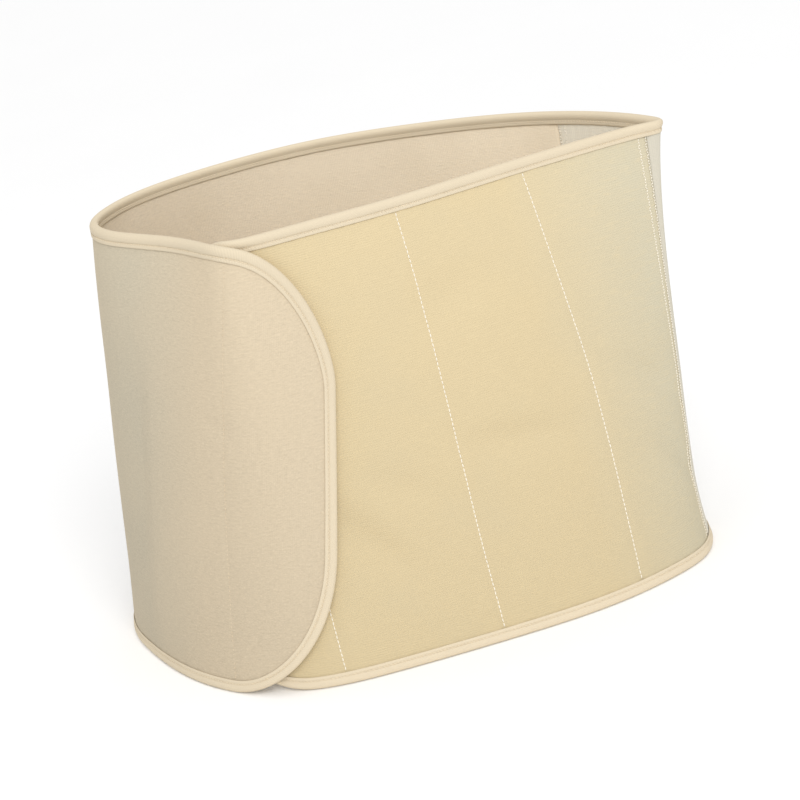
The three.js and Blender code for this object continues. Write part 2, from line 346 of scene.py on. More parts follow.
class Strip:
    """Lengths round both rims and the places of the lines, worked out once."""

    def __init__(self):
        p = sizes()
        self.turns = np.arange(RIM_STEPS + 1) / RIM_STEPS
        self.tables = []
        for t in (1.0, 0.0):
            points = ring_point(self.turns, np.full(RIM_STEPS + 1, t))
            steps = np.linalg.norm(np.diff(points, axis=0), axis=1)
            self.tables.append(np.concatenate([[0], np.cumsum(steps)]))
        self.girth = (self.tables[0][-1] + self.tables[1][-1]) / 2
        self.rows = np.array([[(top + foot) / 2 * self.girth, top, foot] for _, top, foot in LINES])
        self.at = {name: row[0] for (name, _, _), row in zip(LINES, self.rows)}
        self.start = self.at["tail_end"]
        self.end = self.at["flap_end"]
        self.rise = self.at["flap_line"] - p.lap_lead

    def turn(self, s, t):
        """Turn round the ring at place s and share t of the height."""
        out = []
        for table, column in zip(self.tables, (1, 2)):
            share = np.interp(s, self.rows[:, 0], self.rows[:, column])
            whole = np.floor(share)
            out.append(whole + np.interp((share - whole) * table[-1], table, self.turns))
        return (1 - t) * out[1] + t * out[0]

    def point(self, s, z, out):
        """Point at place s along the strip, height z and distance out from its middle."""
        p = sizes()
        s, z, out = np.broadcast_arrays(s, z, out)
        t = z / p.height
        u = self.turn(s, t)
        waist = spline(4, u) * p.height * (1 - (2 * t - 1) ** 4)
        lap = p.lap * smooth(s, self.rise - p.lap_rise, self.rise)
        bulge = waist + lap + sway(s, z) + dents(s, z) + self.fold(s, z) + out
        return ring_point(u, t) + outward(u, t) * bulge[..., None] + np.array(p.shift)

    def fold(self, s, z):
        """The wrap turns in along a soft upright fold just before the rounded end that it covers."""
        before = self.start + self.girth - s
        dip = smooth(before, *FOLD_SINKS) * (1 - smooth(before, *FOLD_RETURNS))
        return -FOLD_DEPTH * dip * (1 - smooth(z, *FOLD_TOP)) * smooth(z, *FOLD_FOOT)

    def span(self, s, inset):
        """Lowest and highest z at place s, inset from the outline."""
        p = sizes()
        s = np.asarray(s, float)
        low = np.full(s.shape, inset)
        high = np.full(s.shape, p.height - inset)
        for d, size in ((s - self.start, p.tail), (self.end - s, p.tip)):
            near = d < size
            up = self.corner(UPPER_CORNER, size, inset, d)
            down = self.corner(LOWER_CORNER, size, inset, d)
            high = np.where(near, p.height - up, high)
            low = np.where(near, down, low)
        return low, high

    def corner(self, shape, size, inset, d):
        """Rise of the outline, moved inwards by inset, at distance d from the tip."""
        d0, rise, in_d, in_rise = corner_path(shape, size, np.linspace(0, math.pi / 2, 241))
        return np.interp(d, d0 + in_d * inset, rise + in_rise * inset)


def corner_path(shape, size, turn):
    """Distance from the tip, rise, and the way inwards in both, round a corner."""
    long, tall = shape[0] * size, shape[1] * sizes().height
    x = np.cos(turn).clip(0) ** (2 / shape[2])
    z = np.sin(turn).clip(0) ** (2 / shape[2])
    inward = np.stack([x ** (shape[2] - 1) / long, z ** (shape[2] - 1) / tall])
    inward /= np.linalg.norm(inward, axis=0)
    return long * (1 - x), tall * (1 - z), inward[0], inward[1]


def sway(s, z):
    """Slow waves of the soft strip, which die out towards the foot that it stands on."""
    wave = 0.45 * np.sin(s / 0.031 + 2.1 * np.sin(z / 0.07))
    wave += 0.35 * np.sin(s / 0.017 - z / 0.046 + 1.3)
    wave += 0.3 * np.sin(z / 0.021 + s / 0.085)
    return SWAY * wave * smooth(z, 0.0, SWAY_FOOT)


def dents(s, z):
    """Soft oval hollows, each turned by its slant."""
    depth = 0.0
    for place, height, long, wide, slant, deep in DENTS:
        turn = math.radians(slant)
        across, up = s - place / 1000, z - height / 1000
        along = (across * math.cos(turn) + up * math.sin(turn)) / long * 1000
        aside = (up * math.cos(turn) - across * math.sin(turn)) / wide * 1000
        depth = depth + deep / 1000 * np.exp(-(along**2) - aside**2)
    return -depth


def pucker(s, z, low, high):
    """Small gathers beside the binding."""
    edge = np.minimum(z - low, high - z)
    gather = np.sin(s / PUCKER_LENGTH + 1.4 * np.sin(s / 0.011))
    return PUCKER * np.exp(-edge / PUCKER_REACH) * gather


def groove(distance, depth, width):
    """Rounded groove along a line at this distance."""
    return -depth * np.exp(-((distance / width) ** 2))


def line_place(strip, name, z):
    """Place of a stitched line across the strip at height z."""
    rows = np.array(WANDER[name])
    t = np.asarray(z) / sizes().height
    # the mean of three readings rounds the corners of the table
    near = sum(np.interp(t + d, rows[:, 0], rows[:, 1]) for d in (-0.05, 0, 0.05)) / 3
    return strip.at[name] + near / 1000


# Meshes


def skin(name, points, labels, closed):
    """Mesh object from a grid wrapped into a tube: points [place][round], labels its UV map.

    closed joins the last place to the first one too.
    """
    wide = len(points) if closed else len(points) - 1
    tall = points.shape[1]
    bm = bmesh.new()
    layer = bm.loops.layers.uv.new("strip")
    bmesh.ops.create_grid(bm, x_segments=wide, y_segments=tall, size=1)
    flat = np.array([v.co[:2] for v in bm.verts])
    i = np.rint((flat[:, 0] + 1) / 2 * wide).astype(int)
    j = np.rint((flat[:, 1] + 1) / 2 * tall).astype(int)
    uv = labels[i, j]
    co = points[i % len(points), j % tall]
    bm.verts.index_update()
    for face in bm.faces:
        for corner in face.loops:
            corner[layer].uv = uv[corner.vert.index]
    for vert, place in zip(bm.verts, co):
        vert.co = place
    bmesh.ops.remove_doubles(bm, verts=bm.verts, dist=2e-6)
    bmesh.ops.recalc_face_normals(bm, faces=bm.faces)
    return finish_mesh(name, bm)


def finish_mesh(name, bm):
    """Smooth object from a bmesh, carried by the part's only body."""
    mesh = bpy.data.meshes.new(name)
    bm.to_mesh(mesh)
    bm.free()
    mesh.polygons.foreach_set("use_smooth", [True] * len(mesh.polygons))
    mesh.update()
    obj = bpy.data.objects.new(name, mesh)
    bpy.context.scene.collection.objects.link(obj)
    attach(obj, "root")
    return obj


def panel(name, strip, places, faces):
    """Closed soft panel at these places. faces gives its outer and inner distance at (s, z)."""
    p = sizes()
    places = np.concatenate([places[:1], places, places[-1:]])
    rows = max(int(round(p.height / p.step)), 8)
    low, high = strip.span(places, p.inset)
    f = np.linspace(0, 1, rows + 1)
    z = low[:, None] + (high - low)[:, None] * f[None, :]
    s = np.repeat(places[:, None], rows + 1, axis=1)
    outer, inner = faces(s, z, low[:, None], high[:, None])
    # both faces meet at the panel's ends and are drawn in just before them, so that they are soft
    for grid in (outer, inner):
        grid[0] = grid[-1] = 0.0
        grid[1] *= SOFT_END
        grid[-2] *= SOFT_END
    points = np.concatenate([strip.point(s, z, outer), strip.point(s, z, inner)[:, ::-1]], axis=1)
    label = np.stack([s, z], axis=-1)
    inside = label[:, ::-1] + np.array([0, INSIDE])
    labels = np.concatenate([label, inside, label[:, :1]], axis=1)
    obj = skin(name, points, labels, closed=False)
    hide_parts(name_of_node(name))
    return obj


def name_of_node(name):
    """CAD node that a cloth piece stands for."""
    return name.removesuffix("_cloth")


def even(start, stop, step):
    """Even places from start to stop, about a step apart."""
    return np.linspace(start, stop, max(int(round((stop - start) / step)), 2) + 1)


def end_places(size, inset, count):
    """Distances from the tip of a rounded end, closer together towards the tip."""
    turn = np.linspace(0, math.pi / 2, count + 1)[:-1]
    return size - (size - inset) * np.cos(turn) ** (2 / UPPER_CORNER[2])


def plain_faces(s, z, low, high):
    """Outer and inner distance of a panel that has only the binding's gathers."""
    half = sizes().panel / 2
    gathers = pucker(s, z, low, high)
    return half + gathers, -half + gathers


def front_faces(strip):
    """Faces with three stay lines, drawn in at the side seam."""
    def faces(s, z, low, high):
        outer, inner = plain_faces(s, z, low, high)
        for name in STAY_LINES:
            d = s - line_place(strip, name, z)
            # each stitch nips the groove a little
            nip = 0.8 + 0.2 * np.sin(z / sizes().stay_pitch * 2 * math.pi)
            outer += groove(d, *STAY_GROOVE) * nip
            inner -= groove(d, *STAY_GROOVE_IN)
            outer -= groove(np.abs(d) - STAY_SWELL_PLACE, STAY_SWELL, STAY_SWELL_WIDTH)
        outer += groove(strip.at["side_seam"] - s, *FRONT_SEAM_GROOVE)
        inner -= groove(strip.at["side_seam"] - s, *FRONT_SEAM_GROOVE_IN)
        return outer, inner
    return faces


def side_faces(strip):
    """Ribbed faces, drawn in at both seams."""
    def faces(s, z, low, high):
        outer, inner = plain_faces(s, z, low, high)
        rib = ELASTIC_RIB * np.sin(s / ELASTIC_RIB_PITCH * 2 * math.pi)
        outer += rib
        inner += rib
        for name in ("side_seam", "back_seam"):
            d = s - strip.at[name]
            outer += groove(d, *SIDE_SEAM_GROOVE)
            inner -= groove(d, *SIDE_SEAM_GROOVE_IN)
        return outer, inner
    return faces


def wrap_faces(strip):
    """Faces drawn in at the back seam and along the flap's stitched line."""
    def faces(s, z, low, high):
        outer, inner = plain_faces(s, z, low, high)
        outer += groove(s - strip.at["back_seam"], *WRAP_SEAM_GROOVE)
        inner -= groove(s - strip.at["back_seam"], *WRAP_SEAM_GROOVE_IN)
        outer += groove(s - line_place(strip, "flap_line", z), *FLAP_GROOVE)
        return outer, inner
    return faces


def binding_path(strip):
    """The strip's outline once round: place, z and the way inwards in both."""
    p = sizes()
    straight = even(strip.start + p.tail, strip.end - p.tip, p.binding_step)
    ones, none = np.ones_like(straight), np.zeros_like(straight)
    legs = [np.stack([straight, ones * p.height, none, -ones], axis=1)]

    def end(tip, side, size):
        """Outline of one rounded end, from the top down."""
        turn = np.linspace(0, math.pi / 2, 110)
        parts = []
        for shape, up in ((UPPER_CORNER, True), (LOWER_CORNER, False)):
            d, rise, in_d, in_rise = corner_path(shape, size, turn)
            z, in_z = (p.height - rise, -in_rise) if up else (rise, in_rise)
            parts.append(np.stack([tip + side * d, z, side * in_d, in_z], axis=1))
        upper, lower = parts
        above, below = upper[0, 1], lower[0, 1]
        middle = np.linspace(above, below, int(abs(above - below) / p.binding_step))
        sides = np.array([[tip, z, side, 0.0] for z in middle[1:-1]])
        return np.concatenate([upper[::-1], sides, lower])

    legs.append(end(strip.end, -1, p.tip)[1:])
    legs.append(np.stack([straight[::-1], none, none, ones], axis=1)[1:])
    legs.append(end(strip.start, 1, p.tail)[::-1][1:-1])
    path = np.concatenate(legs)
    # even spacing along the whole outline
    ring = np.concatenate([path, path[:1]])
    run = np.concatenate([[0], np.cumsum(np.linalg.norm(np.diff(ring[:, :2], axis=0), axis=1))])
    count = int(run[-1] / p.binding_step)
    at = np.arange(count) / count * run[-1]
    even_path = np.stack([np.interp(at, run, ring[:, k]) for k in range(4)], axis=1)
    even_path[:, 2:] /= np.linalg.norm(even_path[:, 2:], axis=1, keepdims=True)
    return even_path, at, run[-1]


def binding_section():
    """Whole section of the tape, once round: depth from the edge, distance out, in metres."""
    half = np.array(BINDING_HALF) / 1000
    depth, out = half[:, 0], half[:, 1]
    inner = half * [1, -1]
    drawn = (depth > DRAWN_IN[0]) & (depth < DRAWN_IN[1]) & (out > OUTER_LAYER)
    inner[drawn, 1] = np.minimum(inner[drawn, 1], -INNER_LIE)
    return np.concatenate([half, inner[-2:0:-1]])


# Stitches


def stitch_rows(name, strip, rows, size):
    """Many small stitches in one mesh. A row gives each stitch's two ends (s, z) and distance out."""
    long, wide, high = size
    places = []
    for a, b, out in rows:
        start = strip.point(a[:, 0], a[:, 1], out)
        stop = strip.point(b[:, 0], b[:, 1], out)
        s, t = (a[:, 0] + b[:, 0]) / 2, (a[:, 1] + b[:, 1]) / 2 / sizes().height
        along = (stop - start) / 2
        reach = np.linalg.norm(along, axis=1, keepdims=True)
        along = along / reach
        across = np.cross(outward(strip.turn(s, t), t), along)
        across /= np.linalg.norm(across, axis=1, keepdims=True)
        lift = np.cross(along, across)
        axes = [across * wide, lift * high, along * reach * long]
        places.append(np.stack([*axes, (start + stop) / 2], axis=1))
    places = np.concatenate(places)
    # every stitch is a copy of one small ball, stretched and turned into its place
    bm = bmesh.new()
    bmesh.ops.create_uvsphere(bm, u_segments=6, v_segments=4, radius=1)
    # the ball's faces come in another order each run, so they are sorted
    bm.faces.sort(key=lambda face: face.calc_center_median().dot(Vector((1, 10, 100))))
    one = bpy.data.meshes.new("one_stitch")
    bm.to_mesh(one)
    form = np.array([v.co for v in bm.verts])
    bm.clear()
    for _ in range(len(places)):
        bm.from_mesh(one)
    co = form @ places[:, :3] + places[:, 3:]
    for vert, place in zip(bm.verts, co.reshape(-1, 3)):
        vert.co = place
    bpy.data.meshes.remove(one)
    return finish_mesh(name, bm)


def line_row(strip, name, out):
    """Running stitches up a line across the strip, both ends of each."""
    p = sizes()
    low, high = strip.span(np.array([strip.at[name]]), p.binding + LINE_ROOM)
    z = even(float(low[0]), float(high[0]), p.stay_pitch)
    s = line_place(strip, name, z)
    wobble = STRAY * np.sin(np.arange(len(z)) * 2.4)
    ends = np.stack([s + wobble, z], axis=1)
    return ends[:-1], ends[1:], out


def zigzag_row(place, out):
    """Zigzag stitches straight up the strip, both ends of each."""
    p = sizes()
    z = even(p.binding + SEAM_END_ROOM, p.height - p.binding - SEAM_END_ROOM, p.seam_pitch)
    k = np.arange(len(z))
    s = place + SEAM_SWING * np.where(k % 2 == 0, 0.5, -0.5) * (1 + 0.3 * np.sin(k * 1.7))
    ends = np.stack([s, z], axis=1)
    return ends[:-1], ends[1:], out


def binding_row(strip, out):
    """Running stitches once round the binding, both ends of each."""
    path, at, run = binding_path(strip)
    count = int(run / sizes().edge_pitch)
    marks = np.arange(count + 1) / count * run
    ring = np.concatenate([path, path[:1]])
    where = np.concatenate([at, [run]])
    line = np.stack([np.interp(marks, where, ring[:, k]) for k in range(4)], axis=1)
    ends = line[:, :2] + line[:, 2:] * TAPE_LINE
    return ends[:-1], ends[1:], out


# Finishes

# Stretches along the strip over which a painted tone changes, metres: painted shade makes the front
# greyer past the first and the wrap's outer face greyer before the second, and painted light makes
# the wrap's inner face paler before the third.
SHADED_FRONT = (0.17, 0.25)
SHADED_TURN = (0.745, 0.81)
PAINTED_LIGHT_INSIDE = (0.36, 0.62)

# All cloth: roughness of its sheen, and its gloss.
SHEEN_ROUGHNESS = 0.45
CLOTH_GLOSS = 0.2


class Finish:
    """Small helper that adds nodes to one cloth finish and links them."""

    def __init__(self, name):
        self.material = bpy.data.materials.new(name)
        self.material.use_nodes = True
        self.tree = self.material.node_tree
        self.tree.nodes.clear()
        self.shader = self.tree.nodes.new("ShaderNodeBsdfPrincipled")
        out = self.tree.nodes.new("ShaderNodeOutputMaterial")
        self.link(self.shader.outputs["BSDF"], out.inputs["Surface"])
        self.uv = self.tree.nodes.new("ShaderNodeUVMap")
        self.uv.uv_map = "strip"
        self.place = self.tree.nodes.new("ShaderNodeTexCoord").outputs["Object"]
        self.bump = None

    def link(self, a, b):
        self.tree.links.new(a, b)

    def stretch(self, source, scale, turn=0.0):
        """Coordinates scaled, and turned by an angle in radians."""
        node = self.tree.nodes.new("ShaderNodeMapping")
        node.inputs["Scale"].default_value = scale
        node.inputs["Rotation"].default_value = (0, 0, turn)
        self.link(source, node.inputs["Vector"])
        return node.outputs["Vector"]

    def noise(self, vector, scale, detail, rough=0.5):
        """Soft noise with so many spots to the metre."""
        node = self.tree.nodes.new("ShaderNodeTexNoise")
        node.inputs["Scale"].default_value = scale
        node.inputs["Detail"].default_value = detail
        node.inputs["Roughness"].default_value = rough
        self.link(vector, node.inputs["Vector"])
        return node.outputs["Fac"]

    def ribs(self, vector, pitch, direction, distortion):
        """Even bands, one each pitch, in metres."""
        node = self.tree.nodes.new("ShaderNodeTexWave")
        node.wave_type = "BANDS"
        node.bands_direction = direction
        node.inputs["Scale"].default_value = math.pi / 10 / pitch
        node.inputs["Distortion"].default_value = distortion
        node.inputs["Detail"].default_value = 2.0
        node.inputs["Detail Scale"].default_value = 1.5
        self.link(vector, node.inputs["Vector"])
        return node.outputs["Fac"]

    def level(self, value, low, high, to_low, to_high):
        """Value moved from the range low to high to the range to_low to to_high, held at its ends."""
        node = self.tree.nodes.new("ShaderNodeMapRange")
        node.inputs["From Min"].default_value = low
        node.inputs["From Max"].default_value = high
        node.inputs["To Min"].default_value = to_low
        node.inputs["To Max"].default_value = to_high
        self.link(value, node.inputs["Value"])
        return node.outputs["Result"]

    def combine(self, a, b, kind="ADD"):
        """Sum, difference or product of a value and another value or number."""
        node = self.tree.nodes.new("ShaderNodeMath")
        node.operation = kind
        self.link(a, node.inputs[0])
        if isinstance(b, (int, float)):
            node.inputs[1].default_value = b
        else:
            self.link(b, node.inputs[1])
        return node.outputs[0]

    def blend(self, factor, a, b):
        """Colour a where the factor is 0 and colour b where it is 1."""
        node = self.tree.nodes.new("ShaderNodeMix")
        node.data_type = "RGBA"
        sockets = [i for i in node.inputs if i.type == "RGBA"]
        for socket, value in zip(sockets, (a, b)):
            if isinstance(value, tuple):
                socket.default_value = (*value, 1)
            else:
                self.link(value, socket)
        self.link(factor, node.inputs[0])
        return next(o for o in node.outputs if o.type == "RGBA")

    def relief(self, height, strength, distance):
        """Bump laid over the bumps before it; distance is its height in metres."""
        node = self.tree.nodes.new("ShaderNodeBump")
        node.inputs["Strength"].default_value = strength
        node.inputs["Distance"].default_value = distance
        self.link(height, node.inputs["Height"])
        if self.bump is not None:
            self.link(self.bump, node.inputs["Normal"])
        self.bump = node.outputs["Normal"]

    def done(self, tone, roughness, sheen, sheen_tint):
        """Finished material. Sheen is the soft glow of the cloth's fuzz."""
        self.link(tone, self.shader.inputs["Base Color"])
        self.link(roughness, self.shader.inputs["Roughness"])
        self.shader.inputs["Sheen Weight"].default_value = sheen
        self.shader.inputs["Sheen Roughness"].default_value = SHEEN_ROUGHNESS
        self.shader.inputs["Sheen Tint"].default_value = (*sheen_tint, 1)
        self.shader.inputs["Specular IOR Level"].default_value = CLOTH_GLOSS
        if self.bump is not None:
            self.link(self.bump, self.shader.inputs["Normal"])
        return self.material


def shade(base, factor):
    """Lighter or darker shade of a colour."""
    return tuple(min(c * factor, 1.0) for c in base)


def face_and_place(n):
    """1 on a panel's inner face and 0 on its outer face; place along the strip; height."""
    split = n.tree.nodes.new("ShaderNodeSeparateXYZ")
    n.link(n.uv.outputs["UV"], split.inputs[0])
    inside = n.level(split.outputs["Y"], INSIDE / 2, INSIDE / 2 + 0.01, 0, 1)
    return inside, split.outputs["X"], n.combine(split.outputs["Y"], inside, "SUBTRACT")


def painted_foot_shade(n, tone, height, amount):
    """Tone with painted shade that gets darker towards the foot, by this share at the foot itself."""
    share = n.level(height, 0, sizes().height, amount, 0)
    return n.blend(share, tone, (0.0, 0.0, 0.0))


def loop_finish():
    """Loop pile in fine ribs; painted shade makes it greener and greyer towards the side seam, darker at
    the foot.
    """
    c = colours()
    base, side, inner = tuple(c.front), tuple(c.front_side_shade), tuple(c.front_in)
    n = Finish("loop_cloth")
    uv = n.uv.outputs["UV"]
    inside, along, height = face_and_place(n)
    ribs = n.ribs(uv, 0.00135, "Y", 0.8)
    tufts = n.noise(n.stretch(uv, (0.7, 1.5, 1)), 1400, 2)
    fluff = n.noise(n.stretch(uv, (0.4, 1.6, 1)), 300, 3)
    cloud = n.noise(uv, 20, 3)
    pattern = n.combine(n.level(ribs, 0, 1, 0.34, 0.66), n.level(tufts, 0.3, 0.7, -0.3, 0.3))
    tone = n.blend(pattern, shade(base, 0.93), shade(base, 1.05))
    # painted shade: the front turns greener and greyer towards the side seam
    side_shade_share = n.level(along, *SHADED_FRONT, 0, 0.9)
    side_painted_shade = n.blend(pattern, shade(side, 0.92), shade(side, 1.06))
    tone = n.blend(n.combine(side_shade_share, n.level(cloud, 0.3, 0.7, -0.1, 0.1)), tone, side_painted_shade)
    tone = n.blend(n.level(fluff, 0.5, 0.8, 0, 0.3), tone, shade(base, 1.12))
    tone = n.blend(n.level(cloud, 0.35, 0.7, 0, 0.35), tone, shade(base, 0.95))
    in_tone = n.blend(n.level(fluff, 0.35, 0.65, 0, 1), shade(inner, 0.95), shade(inner, 1.04))
    # painted shade darkens the outer face towards the foot
    tone = n.blend(inside, painted_foot_shade(n, tone, height, 0.13), in_tone)
    n.relief(ribs, 0.35, 0.0002)
    n.relief(tufts, 0.4, 0.0003)
    n.relief(fluff, 0.2, 0.0005)
    return n.done(tone, n.level(tufts, 0.3, 0.7, 0.82, 0.98), 0.2, shade(base, 1.2))


def brushed_finish():
    """Brushed beige knit with a soft mottled nap lying along the strip."""
    c = colours()
    base, turn, inner = tuple(c.wrap), tuple(c.wrap_turn_shade), tuple(c.wrap_in)
    n = Finish("brushed_cloth")
    uv = n.uv.outputs["UV"]
    inside, along, height = face_and_place(n)
    nap = n.noise(n.stretch(uv, (0.4, 1.4, 1)), 640, 4, 0.65)
    fibres = n.noise(n.stretch(uv, (0.5, 1.3, 1)), 1500, 2)
    knit = n.ribs(uv, 0.0011, "X", 1.5)
    cloud = n.noise(uv, 16, 3)
    level = n.level(nap, 0.3, 0.7, 0, 1)
    tone = n.blend(level, shade(base, 0.92), shade(base, 1.08))
    # painted shade: the outer face is greyer and darker round the left turn
    turn_painted_shade = n.blend(level, shade(turn, 0.92), shade(turn, 1.08))
    tone = n.blend(n.level(along, *SHADED_TURN, 1, 0), tone, turn_painted_shade)
    # painted light: the inner face is paler towards the back seam
    pale = n.level(along, *PAINTED_LIGHT_INSIDE, 1, 0)
    in_tone = n.blend(level, shade(inner, 0.90), shade(inner, 1.04))
    in_tone = n.blend(n.combine(pale, 0.8, "MULTIPLY"), in_tone, shade(inner, 1.33))
    # painted shade darkens the outer face towards the foot
    tone = n.blend(inside, painted_foot_shade(n, tone, height, 0.2), in_tone)
    tone = n.blend(n.level(fibres, 0.45, 0.8, 0, 0.3), tone, shade(inner, 1.12))
    tone = n.blend(n.level(cloud, 0.35, 0.7, 0, 0.25), tone, shade(base, 0.97))
    n.relief(knit, 0.15, 0.0002)
    n.relief(nap, 0.5, 0.0004)
    n.relief(fibres, 0.4, 0.00025)
    return n.done(tone, n.level(fibres, 0.3, 0.7, 0.84, 0.98), 0.25, shade(base, 1.2))


def elastic_finish():
    """Light grey elastic with fine ribs across the strip."""
    base, inner = tuple(colours().side), tuple(colours().side_in)
    n = Finish("elastic_cloth")
    uv = n.uv.outputs["UV"]
    inside = face_and_place(n)[0]
    ribs = n.ribs(uv, 0.0014, "X", 0.3)
    rows = n.ribs(uv, 0.0009, "Y", 0.5)
    grit = n.noise(uv, 1400, 2)
    cloud = n.noise(uv, 18, 3)
    weave = n.combine(n.level(ribs, 0, 1, 0, 0.5), n.level(rows, 0, 1, 0, 0.5))
    tone = n.blend(weave, shade(base, 0.94), shade(base, 1.04))
    tone = n.blend(n.level(cloud, 0.35, 0.7, 0, 0.4), tone, shade(base, 0.95))
    tone = n.blend(inside, tone, n.blend(weave, shade(inner, 0.94), shade(inner, 1.03)))
    n.relief(weave, 0.35, 0.0002)
    n.relief(grit, 0.3, 0.0002)
    return n.done(tone, n.level(grit, 0.3, 0.7, 0.8, 0.96), 0.2, shade(base, 1.1))


def tape_finish():
    """Cream edge tape with fine slanted ribs."""
    base = tuple(colours().tape)
    n = Finish("binding_tape")
    uv = n.uv.outputs["UV"]
    ribs = n.ribs(n.stretch(uv, (1, 1, 1), 0.5), 0.0011, "X", 0.8)
    threads = n.noise(n.stretch(uv, (1.6, 0.5, 1)), 1500, 2)
    cloud = n.noise(uv, 40, 3)
    tone = n.blend(n.level(ribs, 0, 1, 0.1, 0.9), shade(base, 0.95), shade(base, 1.04))
    tone = n.blend(n.level(cloud, 0.35, 0.7, 0, 0.4), tone, shade(base, 0.96))
    n.relief(ribs, 0.25, 0.00016)
    n.relief(threads, 0.25, 0.00015)
    return n.done(tone, n.level(threads, 0.3, 0.7, 0.72, 0.92), 0.15, shade(base, 1.1))


def thread_finish(name, base, dark, light, least_rough, most_rough):
    """Twisted thread, between a dark and a light shade of its colour."""
    n = Finish(name)
    twist = n.noise(n.place, 2600, 1)
    tone = n.blend(twist, shade(base, dark), shade(base, light))
    n.relief(twist, 0.4, 0.0001)
    return n.done(tone, n.level(twist, 0.3, 0.7, least_rough, most_rough), 0.15, (1, 1, 1))


def pale_thread():
    """Pale thread of the stay lines and seams."""
    return thread_finish("thread", tuple(colours().thread), 0.88, 1.06, 0.5, 0.75)


def matching_thread(name, cloth, lighter):
    """Thread in the colour of its cloth."""
    return thread_finish(name, shade(tuple(cloth), lighter), 0.9, 1.05, 0.6, 0.8)


def hook_finish():
    """Hook tape: rows of small stiff hooks, as a close grid of dots."""
    base = tuple(colours().hook)
    n = Finish("hook_tape")
    uv = n.uv.outputs["UV"]
    hooks = n.tree.nodes.new("ShaderNodeTexVoronoi")
    hooks.inputs["Scale"].default_value = 620
    hooks.inputs["Randomness"].default_value = 0.25
    n.link(uv, hooks.inputs["Vector"])
    dots = n.level(hooks.outputs["Distance"], 0.0, 0.5, 1, 0)
    grit = n.noise(uv, 900, 2)
    tone = n.blend(dots, shade(base, 0.8), shade(base, 1.1))
    n.relief(dots, 0.8, 0.0005)
    return n.done(tone, n.level(grit, 0.3, 0.7, 0.5, 0.7), 0.0, (1, 1, 1))


def floor_finish():
    """Plain pale floor with a trace of grain."""
    base = tuple(colours().floor)
    n = Finish("plain_floor")
    grain = n.noise(n.place, 6, 2)
    tone = n.blend(grain, shade(base, 0.995), shade(base, 1.005))
    return n.done(tone, n.level(grain, 0.3, 0.7, 0.85, 0.95), 0.0, (1, 1, 1))


# Operators


class BINDER_OT_front(bpy.types.Operator):
    """Front panel with its three stay lines"""

    bl_idname = "binder.front"
    bl_label = "Front panel"

    def execute(self, context):
        p, strip = sizes(), Strip()
        tail = strip.start + end_places(p.tail, p.inset, 34)
        body = even(strip.start + p.tail, strip.at["side_seam"] - p.seam_room, p.step * 0.8)
        obj = panel("front_panel_cloth", strip, np.concatenate([tail, body]), front_faces(strip))
        obj.data.materials.append(loop_finish())
        return {"FINISHED"}


class BINDER_OT_side(bpy.types.Operator):
    """Elastic side panel"""

    bl_idname = "binder.side"
    bl_label = "Side panel"

    def execute(self, context):
        p, strip = sizes(), Strip()
        start = strip.at["side_seam"] + p.seam_room
        stop = strip.at["back_seam"] - p.seam_room
        places = even(start, stop, p.step * 0.5)
        obj = panel("side_panel_cloth", strip, places, side_faces(strip))
        obj.data.materials.append(elastic_finish())
        return {"FINISHED"}


class BINDER_OT_wrap(bpy.types.Operator):
    """Wrap panel from the back seam to the rounded flap end"""

    bl_idname = "binder.wrap"
    bl_label = "Wrap panel"

    def execute(self, context):
        p, strip = sizes(), Strip()
        body = even(strip.at["back_seam"] + p.seam_room, strip.end - p.tip, p.step)
        tip = (strip.end - end_places(p.tip, p.inset, 30))[::-1]
        obj = panel("wrap_panel_cloth", strip, np.concatenate([body, tip]), wrap_faces(strip))
        obj.data.materials.append(brushed_finish())
        return {"FINISHED"}


class BINDER_OT_binding(bpy.types.Operator):
    """Edge tape folded round the whole edge of the strip"""

    bl_idname = "binder.binding"
    bl_label = "Edge binding"

    def execute(self, context):
        strip = Strip()
        path, at, run = binding_path(strip)
        section = binding_section()
        depth, out = section[:, 0], section[:, 1]
        s = path[:, :1] + path[:, 2:3] * depth
        z = path[:, 1:2] + path[:, 3:4] * depth
        meet = 0.5 + 0.5 * np.cos(at[:, None] / sizes().edge_pitch * 2 * math.pi)
        nip = 1 - TAPE_NIP * meet * smooth(depth, *TAPE_NIP_DEPTHS)
        points = strip.point(s, z, out * nip)
        once_round = np.concatenate([section, section[:1]])
        steps = np.linalg.norm(np.diff(once_round, axis=0), axis=1)
        round_it = np.concatenate([[0], np.cumsum(steps)])
        along = np.concatenate([at, [run]])
        labels = np.stack(np.broadcast_arrays(along[:, None], round_it[None, :]), axis=-1)
        obj = skin("edge_binding_cloth", points, labels, closed=True)
        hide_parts("edge_binding")
        obj.data.materials.append(tape_finish())
        return {"FINISHED"}


class BINDER_OT_hook(bpy.types.Operator):
    """Hook tape under the flap's rounded end"""

    bl_idname = "binder.hook"
    bl_label = "Hook tape"

    def execute(self, context):
        p, strip = sizes(), Strip()
        inset = p.binding + HOOK_INSET
        far = np.append(end_places(p.tip, inset, 23), p.tip)
        places = strip.end - far[::-1]
        places = np.concatenate([places[:1], places, places[-1:]])
        low, high = strip.span(places, inset)
        f = np.linspace(0, 1, 61)
        z = low[:, None] + (high - low)[:, None] * f
        s = np.repeat(places[:, None], len(f), axis=1)
        near = np.full(s.shape, -p.panel / 2 - HOOK_GAP)
        deep = near - HOOK_THICKNESS
        for grid in (near, deep):
            grid[0] = grid[-1] = -p.panel / 2 - HOOK_END
        points = np.concatenate([strip.point(s, z, near), strip.point(s, z, deep)[:, ::-1]], axis=1)
        label = np.stack([s, z], axis=-1)
        labels = np.concatenate([label, label[:, ::-1], label[:, :1]], axis=1)
        obj = skin("hook_patch_cloth", points, labels, closed=False)
        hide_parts("hook_patch")
        obj.data.materials.append(hook_finish())
        return {"FINISHED"}


